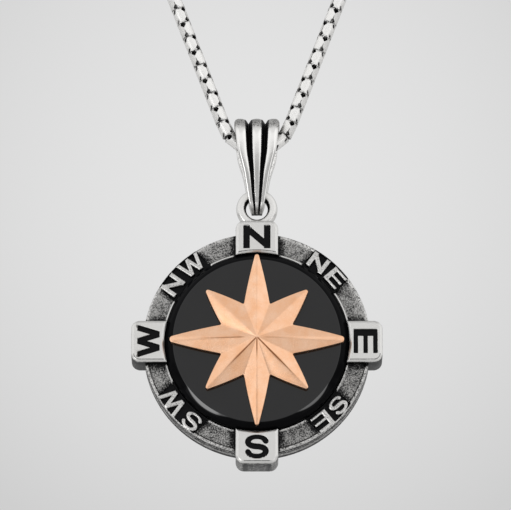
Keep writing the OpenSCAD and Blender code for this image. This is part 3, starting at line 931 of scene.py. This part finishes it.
def bail_surface(bail):
    """The bail: across it lie three flat, slightly crowned rods. A groove's depth is t^GROOVE_POWER,
    where t rises from 0 at its edge to 1 at its middle, and the outer edges fall off as quarter
    circles. This section is carried round the outer curve, and the inner curve closes it."""
    drop = BAIL_TOP.z - BAIL_LOW.z
    tip_z = drop + bail.low_inside + bail.low_thickness
    outer = round_two(bail.top_radius, bail.low_radius, tip_z - bail.low_radius)
    leg = np.clip(-outer[:, 1] / (tip_z - bail.low_radius), 0, 1)
    half_depth = np.maximum(np.abs(outer[:, 0]), bail.low_inside)
    outer[:, 0] *= 1 + 4 * leg * (1 - leg) * bail.leg_bulge / half_depth
    inner = round_two(bail.top_inside, bail.low_inside, drop)
    inward = unit(inner - outer)
    above_tip = outer[:, 1] + tip_z
    taper = bail_taper((bail.top_radius - outer[:, 1]) / (bail.top_radius + tip_z))
    half = bail.tip_width / 2 + (bail.width - bail.tip_width) / 2 * taper
    even = np.linspace(-1, 1, BAIL_STEPS[0])
    across = 0.3 * np.sin(even * np.pi / 2) + 0.7 * even
    aside = np.abs(across)
    in_groove = np.clip(1 - np.abs(aside - GROOVE_AT) / GROOVE_HALF, 0, 1)
    on_rod = np.where(aside < GROOVE_AT, aside / ROD_HALF, (aside - SIDE_ROD_AT) / SIDE_ROD_HALF)
    on_edge = np.clip((aside - EDGE_FROM) / (1 - EDGE_FROM), 0, 1)
    crown = ROD_CROWN * on_rod ** 2 + EDGE_FALL * (1 - np.sqrt(1 - on_edge ** 2))
    depth = np.maximum(in_groove ** GROOVE_POWER, crown)
    grown = GROOVE_LOW + (1 - GROOVE_LOW) * fade(*GROOVE_GROWS, above_tip)
    groove = bail.groove * half * 2 / bail.width * grown
    front = outer[:, None] + inward[:, None] * (depth * groove[:, None])[..., None]
    # The two rounded edges of the inside, from one side to the other
    edge = np.minimum(bail.inner_round, half / 2)[:, None]
    a = np.linspace(0, np.pi / 2, 4)
    turn_in = np.concatenate([np.cos(a), -np.cos(a[::-1])])
    set_back = np.concatenate([1 - np.sin(a), 1 - np.sin(a[::-1])])
    back_x = np.sign(turn_in) * (half[:, None] - edge * (1 - np.abs(turn_in)))
    back = inner[:, None] - inward[:, None] * (set_back * edge)[..., None]
    flat = np.concatenate([front, back], 1)
    x = np.concatenate([across * half[:, None], back_x], 1)
    points = np.stack([x, BAIL_TOP.y + flat[..., 0], BAIL_TOP.z + flat[..., 1]], -1)
    # The grooves are black; the top has painted shade, the very tip is black and brushed, and a haze lies
    # inside
    steepness = outer[:, 1] / bail.top_radius
    # Painted shade makes the top darker; the very tip is black
    haze = np.maximum(fade(*TIP_HAZE, above_tip), TOP_SHADE * smoothstep(*TOP_SHADE_PART, steepness))
    black = np.append(BLACK * smoothstep(0.0, 0.1, in_groove), np.full(len(turn_in), HAZE_BLACK))
    black = np.maximum(black, haze[:, None])
    brushed = np.maximum(smoothstep(*TOP_BRUSHED_PART, steepness), fade(*TIP_BRUSHED, above_tip))
    return grid(points, (True, True), black=black, grain=(PLAIN + BRUSHED * brushed)[:, None])


def link_surface(chain):
    """One link along X: a band bent into a long loop. Its two cheeks lie on the chain's cylinder and
    almost touch at the sides of the link, except near their ends, where they leave a hole. Each cheek
    also has a small pit near both ends, and from there the band, now narrow, slopes down to the link's
    tip. Its section is an arc outside and a ridge inside. The pits are black and the cheeks' ends and
    edges darker, as painted shade; the ridge inside and the tips are black, oxide and painted shade in
    the openings between links."""
    radius = chain.thickness / 2
    half_length = (chain.pitch + chain.play) / 2 + chain.metal
    along = (chain.pitch / 2 - chain.cheek_gap) * LINK_ALONG
    x = np.concatenate([along, [half_length], -along, [-half_length]])
    side = np.repeat([1, 0, -1, 0], [len(along), 1] * 2)
    # One cheek and its tip, then the same again for the other cheek
    end = CHEEK_END * chain.cheek_spread
    hole = chain.cheek_spread - chain.hole_width / 2 / radius
    tip = chain.end_width / 2 / radius
    spread = np.tile([end, hole, chain.cheek_spread, chain.cheek_spread, hole, end, tip], 2)
    # Painted shade: the pits are black dots and the cheeks' ends dark joints; the tips are black with
    # oxide
    pitted = np.tile([0, 1, 0, 0, 1, 0, 0], 2)
    oxide_and_shade = np.tile([CHEEK_END_SHADE, 0, 0, 0, 0, CHEEK_END_SHADE, BLACK], 2)
    across = spread[:, None] * LINK_ACROSS
    pit = pitted[:, None] * np.array([0, 0, 0, 1, 0, 0, 0, 0])
    reach = radius - RIDGE * chain.metal * np.array([0, 0, 0, 0, 0, 0, 0, 1])
    below = radius - reach * np.cos(across) + PIT * chain.metal * pit
    out = np.sign(x) * (side == 0)
    points = np.stack([x[:, None] - out[:, None] * below, reach * np.sin(across),
                       (radius - below) * side[:, None]], -1)
    # Painted shade along the cheeks' edges; the ridge inside is black, oxide and painted shade in the
    # openings
    edges = np.array([LINK_EDGE_SHADE, 0, 0, 0, 0, 0, LINK_EDGE_SHADE, BLACK])
    return points, np.maximum.reduce([edges + 0 * pit, BLACK * pit, oxide_and_shade[:, None] + 0 * pit])


def chain_route(chain):
    """Joints of the right half, from the lowest one up to the clasp, as x and z, and the slope of each
    link: the knee's slopes, then a straight strand, then an arc that ends at the clasp."""
    knee = np.radians(KNEE)
    knee_x = chain.pitch * np.cos(knee).sum()
    rest = chain.loop / 2 - chain.pitch * len(knee)
    lean = chain.strand_angle
    turn = np.pi / 2 + lean
    ideal = (knee_x + rest * math.sin(lean)) / (math.cos(lean) + turn * math.sin(lean))
    strand = round((rest - turn * ideal) / chain.pitch)
    radius = (knee_x + strand * chain.pitch * math.sin(lean)) / math.cos(lean)
    step = 2 * math.asin(chain.pitch / 2 / radius)
    steps = int((turn - math.asin(chain.clasp / 2 / radius)) / step)
    slope = np.concatenate([knee, np.full(strand, np.pi / 2 - lean),
                            np.pi / 2 - lean + step * (np.arange(steps) + 0.5)])
    joints = np.zeros((len(slope) + 1, 2))
    joints[1:, 0] = np.cumsum(chain.pitch * np.cos(slope))
    joints[1:, 1] = np.cumsum(chain.pitch * np.sin(slope))
    joints[:, 1] += (CLASP_LOW.z + CLASP_HIGH.z) / 2 - joints[-1, 1]
    return joints, slope


def placed_links(points, middle, slope, number, mirror=1):
    """Copies of a link: each is turned about its own axis by one of two angles in turn, about a third
    of a turn apart, then laid along its slope with its middle at x, z. A mirror of -1 swaps left and
    right."""
    x, y, z = np.moveaxis(points, -1, 0)[:, None]
    roll = np.radians(ROLLS)[number % 2][:, None, None]
    slope = slope[:, None, None]
    rolled_y = y * np.cos(roll) - z * np.sin(roll)
    rolled_z = y * np.sin(roll) + z * np.cos(roll)
    laid_x = middle[:, :1, None] + x * np.cos(slope) - rolled_z * np.sin(slope)
    laid_z = middle[:, 1:, None] + x * np.sin(slope) + rolled_z * np.cos(slope)
    return np.stack([mirror * laid_x, rolled_y, laid_z], -1)


def half_chain(chain, first, mirror):
    """All the links of one half of the chain, whose first one is turned as the link with the number
    first."""
    points, tone = link_surface(chain)
    joints, slope = chain_route(chain)
    middle = (joints[1:] + joints[:-1]) / 2
    number = np.arange(len(slope)) + first
    links = placed_links(points, middle, slope, number, mirror)
    return grid(links, (True, True), black=tone, grain=GRAIN["link"])


def clasp_surfaces(chain):
    """The clasp: a barrel turned round X, with rounded ends and two grooves of one period of 1 - cos
    each, and a link's half standing out of each end."""
    joints, slope = chain_route(chain)
    middle_z = joints[-1, 1]
    radius = (CLASP_HIGH.z - CLASP_LOW.z) / 2
    reach = joints[-1, 0] - chain.pitch / 2
    a = np.linspace(0, np.pi / 2, CORNER_STEPS)
    end_x = reach - chain.clasp_round * (1 - np.sin(a))
    end_r = radius - chain.clasp_round * (1 - np.cos(a))
    inner_x = np.linspace(-end_x[0], end_x[0], CLASP_STEPS[1])[1:-1]
    from_groove = np.abs(np.abs(inner_x) - chain.groove_at * reach) / chain.clasp_groove_half
    sunk = (1 + np.cos(np.pi * np.clip(from_groove, 0, 1))) / 2
    x = np.concatenate([[-reach], -end_x[::-1], inner_x, end_x, [reach]])[:, None]
    r = np.concatenate([[0], end_r[::-1], radius - chain.clasp_groove * sunk, end_r, [0]])[:, None]
    tone = np.pad(sunk, len(a) + 1, constant_values=0.1)[:, None]
    angle = once_round(CLASP_STEPS[0])
    barrel = np.stack(np.broadcast_arrays(x, r * np.sin(angle), middle_z + r * np.cos(angle)), -1)
    points, link_tone = link_surface(chain)
    at, back = np.array([[reach, middle_z]]), np.array([np.pi])
    eyes = [grid(placed_links(points, at, back, np.array([len(slope) + side]), 1 - 2 * side),
                 (True, True), black=link_tone, grain=GRAIN["link"]) for side in (0, 1)]
    return [grid(barrel, (False, True), black=tone, grain=GRAIN["clasp"]), *eyes]


def add_node(tree, kind, result=None, inputs=None, **settings):
    """Adds a shader node with its own settings, fills its inputs with values or with other nodes'
    results, and gives back its output of the name in result."""
    made = tree.nodes.new("ShaderNode" + kind)
    for key, value in settings.items():
        setattr(made, key, value)
    for key, value in (inputs or {}).items():
        if isinstance(value, bpy.types.NodeSocket):
            tree.links.new(value, made.inputs[key])
        else:
            made.inputs[key].default_value = value
    return made.outputs[result] if result else None


def new_material(name):
    """An empty material, and a function that adds a node to it."""
    material = bpy.data.materials.new(name)
    material.use_nodes = True
    material.node_tree.nodes.clear()
    return material, partial(add_node, material.node_tree)


def silver_material(name, colours, polish):
    """Sterling silver 925, cast, oxidised black all over and polished off the high places. The eye sees
    bright mirrors with soft casting ripples, satin where it was only brushed, black recesses, and
    between them a grey where the polish caught the peaks of the blasted grain. Polish is the roughness
    of the brightest places."""
    material, node = new_material(name)
    # The black attribute holds oxide, and on some surfaces painted shade as well
    black = node("Attribute", "Fac", attribute_name="black")
    grain = node("Attribute", "Fac", attribute_name="grain")
    place = node("TexCoord", "Object")
    # Blasted grit is under 0.1 mm; it is drawn 0.15 mm wide, so that it shows, over clouds of 0.9 mm
    grit = node("TexNoise", "Fac", {"Vector": place, "Scale": 1 / (0.15 * MM), "Roughness": 0.6})
    clouds = node("TexNoise", "Fac", {"Vector": place, "Scale": 1 / (0.9 * MM)})
    both = node("Mix", "Result", {"Factor": 0.2, "A": grit, "B": clouds})
    spread = node("MapRange", "Result", {"Value": both, "From Min": 0.33, "From Max": 0.67,
                                         "To Min": -0.55, "To Max": 0.55})
    uneven = node("Math", "Value", {0: spread, 1: black}, operation="ADD")
    dark = node("MapRange", "Result", {"Value": uneven, "From Min": 0.05, "From Max": 0.95},
                interpolation_type="SMOOTHSTEP")
    clean = node("MapRange", "Result", {"Value": black, "From Min": 0.03, "From Max": 0.2},
                 interpolation_type="SMOOTHSTEP")
    oxide_and_shade = node("Math", "Value", {0: dark, 1: clean}, operation="MULTIPLY")
    bare = node("Mix", "Result", {"Factor": grain, "A": (*colours.silver, 1), "B": (*colours.satin, 1)},
                data_type="RGBA")
    tint = node("Mix", "Result", {"Factor": oxide_and_shade, "A": bare, "B": (*colours.oxide_and_shade, 1)},
                data_type="RGBA")
    worn = node("Math", "Value", {0: grain, 1: 0.35, 2: polish}, operation="MULTIPLY_ADD")
    rough = node("MapRange", "Result", {"Value": oxide_and_shade, "To Min": worn, "To Max": 0.5})
    # Casting ripples about 1.4 mm wide and a hundredth of that high
    ripple = node("TexNoise", "Fac", {"Vector": place, "Scale": 1 / (1.4 * MM), "Detail": 1.0})
    ripples = node("Bump", "Normal", {"Height": ripple, "Strength": 0.4, "Distance": 0.02 * MM})
    pits = node("Bump", "Normal", {"Height": grit, "Strength": grain, "Distance": 0.02 * MM,
                                   "Normal": ripples})
    shader = node("BsdfPrincipled", "BSDF", {"Base Color": tint, "Metallic": 1.0, "Roughness": rough,
                                             "Normal": pits})
    node("OutputMaterial", inputs={"Surface": shader})
    return material


def onyx_material(colours):
    """Black onyx, a dyed chalcedony ground flat and polished on felt. The eye sees a black so deep that
    only the studio's mirror image shows, very slightly uneven from polishing."""
    material, node = new_material("black_onyx")
    place = node("TexCoord", "Object")
    haze = node("TexNoise", "Fac", {"Vector": place, "Scale": 1 / (3.0 * MM), "Detail": 3.0})
    tint = node("Mix", "Result", {"Factor": haze, "A": (*colours.onyx, 1), "B": (*colours.onyx_haze, 1)},
                data_type="RGBA")
    rough = node("MapRange", "Result", {"Value": haze, "To Min": 0.05, "To Max": 0.11})
    gloss = node("Attribute", "Fac", attribute_name="gloss")
    shader = node("BsdfPrincipled", "BSDF", {"Base Color": tint, "Roughness": rough, "IOR": 1.54,
                                             "Specular IOR Level": gloss})
    node("OutputMaterial", inputs={"Surface": shader})
    return material


def rose_gold_material(colours):
    """Rose gold plate on silver, satin brushed by hand. The eye sees a warm, soft sheen without mirror
    images, fine brush grain, and brown painted shade along some ridges."""
    material, node = new_material("satin_rose_gold")
    crease = node("Attribute", "Fac", attribute_name="crease")
    place = node("TexCoord", "Object")
    cloud = node("TexNoise", "Fac", {"Vector": place, "Scale": 1 / (1.6 * MM)})
    # Brush grain is about 0.03 mm; it is drawn 0.12 mm wide, so that it shows
    brush = node("TexNoise", "Fac", {"Vector": place, "Scale": 1 / (0.12 * MM), "Detail": 3.0})
    uneven = node("Mix", "Result", {"Factor": 0.5, "A": cloud, "B": brush})
    patchy = node("MapRange", "Result", {"Value": uneven, "From Min": 0.38, "From Max": 0.62})
    warm = node("Mix", "Result", {"Factor": patchy, "A": (*colours.rose_gold, 1),
                                  "B": (*colours.rose_shade, 1)}, data_type="RGBA")
    # Painted shade: the tint turns brown along some ridges
    tint = node("Mix", "Result", {"Factor": crease, "A": warm, "B": (*colours.rose_crease, 1)},
                data_type="RGBA")
    rough = node("MapRange", "Result", {"Value": brush, "To Min": 0.22, "To Max": 0.36})
    bump = node("Bump", "Normal", {"Height": brush, "Strength": 0.25, "Distance": 0.02 * MM})
    shader = node("BsdfPrincipled", "BSDF", {"Base Color": tint, "Metallic": 1.0, "Roughness": rough,
                                             "Normal": bump})
    node("OutputMaterial", inputs={"Surface": shader})
    return material


def board_material(colours):
    """Matt painted board: an even pale tone without gloss."""
    material, node = new_material("pale_board")
    shader = node("BsdfPrincipled", "BSDF", {"Base Color": (*colours.backdrop, 1), "Roughness": 0.9})
    node("OutputMaterial", inputs={"Surface": shader})
    return material


def tent_material():
    """The lit inside of a studio tent, as brightness by direction from its middle: panels with soft
    edges on an even ground. Metal mirrors it; nothing else sees it."""
    material, node = new_material("light_tent")
    way = node("VectorMath", "Vector", {0: node("TexCoord", "Object")}, operation="NORMALIZE")
    total = TENT_HORIZON
    for azimuth, elevation, half, soft, brightness in TENT_PANELS:
        a, e = math.radians(azimuth), math.radians(elevation)
        toward = (math.sin(a) * math.cos(e), -math.cos(a) * math.cos(e), math.sin(e))
        cosine = node("VectorMath", "Value", {0: way, 1: toward}, operation="DOT_PRODUCT")
        total = node("MapRange", "Result", {
            "Value": cosine, "From Min": math.cos(math.radians(half + soft)),
            "From Max": math.cos(math.radians(half)), "To Min": total, "To Max": brightness},
            interpolation_type="SMOOTHSTEP")
    node("OutputMaterial", inputs={"Surface": node("Emission", "Emission", {"Strength": total})})
    material.cycles.emission_sampling = "NONE"
    return material


def backdrop_world(stage, colours):
    """The world as an evenly pale backdrop with a soft lit spot behind the pendant, a little above the
    picture's middle. Near the spot's middle its brightness falls with the square of the angle."""
    world = bpy.data.worlds.new("studio")
    world.use_nodes = True
    node = partial(add_node, world.node_tree)
    spot = stage.below + stage.spot_above
    way = node("TexCoord", "Generated")
    toward = (0, math.cos(spot), math.sin(spot))
    cosine = node("VectorMath", "Value", {0: way, 1: toward}, operation="DOT_PRODUCT")
    lit = node("MapRange", "Result", {"Value": cosine, "From Min": math.cos(stage.spot_spread),
                                      "From Max": 1.0})
    tint = node("Mix", "Result", {"Factor": lit, "A": (*colours.backdrop, 1),
                                  "B": (*colours.lit_backdrop, 1)}, data_type="RGBA")
    world.node_tree.links.new(tint, world.node_tree.nodes["Background"].inputs["Color"])
    world.cycles_visibility.glossy = False
    return world


class PENDANT_OT_frame(bpy.types.Operator):
    """Makes the ring with its letters, the four blocks and the loop, which stand for the cast frame"""

    bl_idname = "pendant.frame"
    bl_label = "Ring, blocks and loop"

    def execute(self, context):
        scene = context.scene
        ring, blocks, letters = scene.pendant_ring, scene.pendant_blocks, scene.pendant_letters
        silver = silver_material("oxidised_sterling_silver", scene.pendant_colours, polish=0.14)
        sides = []
        for number, (letter, share) in enumerate(BLOCK_LETTERS):
            sides += block_surfaces(letter, share, number * math.pi / 2, ring, blocks, letters)
        pieces = {"ring": [ring_surface(ring, blocks, letters)], "blocks": sides,
                  "top_loop": [loop_surface(blocks, scene.pendant_loop)]}
        for name, grids in pieces.items():
            dress(name, grids, silver, "medallion", "frame")
        return {"FINISHED"}


class PENDANT_OT_stone(bpy.types.Operator):
    """Makes the black stone"""

    bl_idname = "pendant.stone"
    bl_label = "Stone"

    def execute(self, context):
        scene = context.scene
        dress("onyx_disc", [stone_surface(scene.pendant_ring, scene.pendant_stone)],
              onyx_material(scene.pendant_colours), "medallion", "stone")
        return {"FINISHED"}


class PENDANT_OT_star(bpy.types.Operator):
    """Makes the eight-pointed star"""

    bl_idname = "pendant.star"
    bl_label = "Star"

    def execute(self, context):
        scene = context.scene
        dress("compass_star", [star_surface(scene.pendant_star)],
              rose_gold_material(scene.pendant_colours), "medallion", "star")
        return {"FINISHED"}


class PENDANT_OT_bail(bpy.types.Operator):
    """Makes the bail of three tapered rods"""

    bl_idname = "pendant.bail"
    bl_label = "Bail"

    def execute(self, context):
        scene = context.scene
        silver = silver_material("polished_sterling_silver", scene.pendant_colours, polish=0.12)
        dress("rod_bail", [bail_surface(scene.pendant_bail)], silver, "bail", "bail")
        return {"FINISHED"}


class PENDANT_OT_chain(bpy.types.Operator):
    """Makes the two halves of the box chain and the clasp"""

    bl_idname = "pendant.chain"
    bl_label = "Chain and clasp"

    def execute(self, context):
        chain = context.scene.pendant_chain
        silver = silver_material("box_chain_silver", context.scene.pendant_colours, polish=0.38)
        pieces = [("box_chain_right", [half_chain(chain, 0, 1)], "chain_right"),
                  ("box_chain_left", [half_chain(chain, 1, -1)], "chain_left"),
                  ("barrel_clasp", clasp_surfaces(chain), "clasp")]
        for name, grids, node in pieces:
            dress(name, grids, silver, "chain", node, CRISP)
        return {"FINISHED"}


class PENDANT_OT_stage(bpy.types.Operator):
    """Sets up the camera, the pale surroundings and the light"""

    bl_idname = "pendant.stage"
    bl_label = "Stage"

    def execute(self, context):
        scene = context.scene
        stage, colours = scene.pendant_stage, scene.pendant_colours
        scene.view_settings.view_transform = "Standard"
        self.add_camera(scene, stage)
        self.add_surroundings(scene, stage, colours)
        self.add_light(scene)
        return {"FINISHED"}

    def add_camera(self, scene, stage):
        """A long lens below the pendant, aimed up at it."""
        camera = bpy.data.objects.new("camera", bpy.data.cameras.new("camera"))
        scene.collection.objects.link(camera)
        aim = Vector((stage.aim_side, 0, CENTRE_Z + stage.aim_above))
        back = Vector((0, -math.cos(stage.below), -math.sin(stage.below)))
        camera.location = aim + back * stage.distance
        camera.rotation_euler = (-back).to_track_quat("-Z", "Y").to_euler()
        camera.data.lens = camera.data.sensor_width * stage.distance / stage.field
        camera.data.clip_start = 0.01
        scene.camera = camera

    def add_surroundings(self, scene, stage, colours):
        """A pale world, a pale floor below the camera, and the tent that only mirrors see."""
        scene.world = backdrop_world(stage, colours)
        floor_z = CENTRE_Z - stage.distance * math.sin(stage.below) - stage.floor_below
        a = once_round(STAGE_STEPS[0])
        r = np.array([0, 0.5, 1])[:, None] * stage.tent_radius
        disc = np.stack(np.broadcast_arrays(r * np.cos(a), r * np.sin(a), floor_z), -1)
        up = np.linspace(-np.pi / 2, np.pi / 2, STAGE_STEPS[1])[:, None]
        directions = np.broadcast_arrays(np.cos(up) * np.cos(a), np.cos(up) * np.sin(a), np.sin(up))
        shell = stage.tent_radius * np.stack(directions, -1)
        floor = make_piece("floor", [grid(disc, (False, True))], board_material(colours))
        tent = make_piece("light_tent", [grid(shell, (False, True))], tent_material())
        tent.visible_camera = tent.visible_diffuse = tent.visible_shadow = False
        tent.visible_transmission = tent.visible_volume_scatter = False
        floor.visible_glossy = False

    def add_light(self, scene):
        """One large soft light high in front, which gives the soft shadows."""
        light = bpy.data.lights.new("softbox", "AREA")
        light.shape = "DISK"
        light.size = SOFTBOX_WIDTH
        light.energy = SOFTBOX_POWER
        lamp = bpy.data.objects.new("softbox", light)
        lamp.location = SOFTBOX_AT
        toward = Vector((0, 0, CENTRE_Z)) - lamp.location
        lamp.rotation_euler = toward.to_track_quat("-Z", "Y").to_euler()
        lamp.visible_camera = lamp.visible_glossy = False
        scene.collection.objects.link(lamp)


OPERATORS = (PENDANT_OT_frame, PENDANT_OT_stone, PENDANT_OT_star, PENDANT_OT_bail, PENDANT_OT_chain,
             PENDANT_OT_stage)


class PENDANT_PT_panel(bpy.types.Panel):
    """Lists the pieces and their sizes"""

    bl_idname = "PENDANT_PT_panel"
    bl_label = "Compass pendant"
    bl_space_type = "VIEW_3D"
    bl_region_type = "UI"
    bl_category = "Pendant"

    def draw(self, context):
        for operator in OPERATORS:
            self.layout.operator(operator.bl_idname)
        for key, group in GROUPS.items():
            box = self.layout.box()
            box.label(text=group.__doc__)
            for name in group.__annotations__:
                box.prop(getattr(context.scene, key), name)


CLASSES = (*GROUPS.values(), *OPERATORS, PENDANT_PT_panel)


def register():
    """Registers the groups of sizes, the operators and the panel."""
    for cls in CLASSES:
        bpy.utils.register_class(cls)
    for key, group in GROUPS.items():
        setattr(bpy.types.Scene, key, PointerProperty(type=group))


def unregister():
    """Takes back what register did."""
    for key in GROUPS:
        delattr(bpy.types.Scene, key)
    for cls in reversed(CLASSES):
        bpy.utils.unregister_class(cls)


def main():
    """Makes every piece and the stage."""
    register()
    bpy.ops.pendant.frame()
    bpy.ops.pendant.stone()
    bpy.ops.pendant.star()
    bpy.ops.pendant.bail()
    bpy.ops.pendant.chain()
    bpy.ops.pendant.stage()


if __name__ == "__main__":
    main()
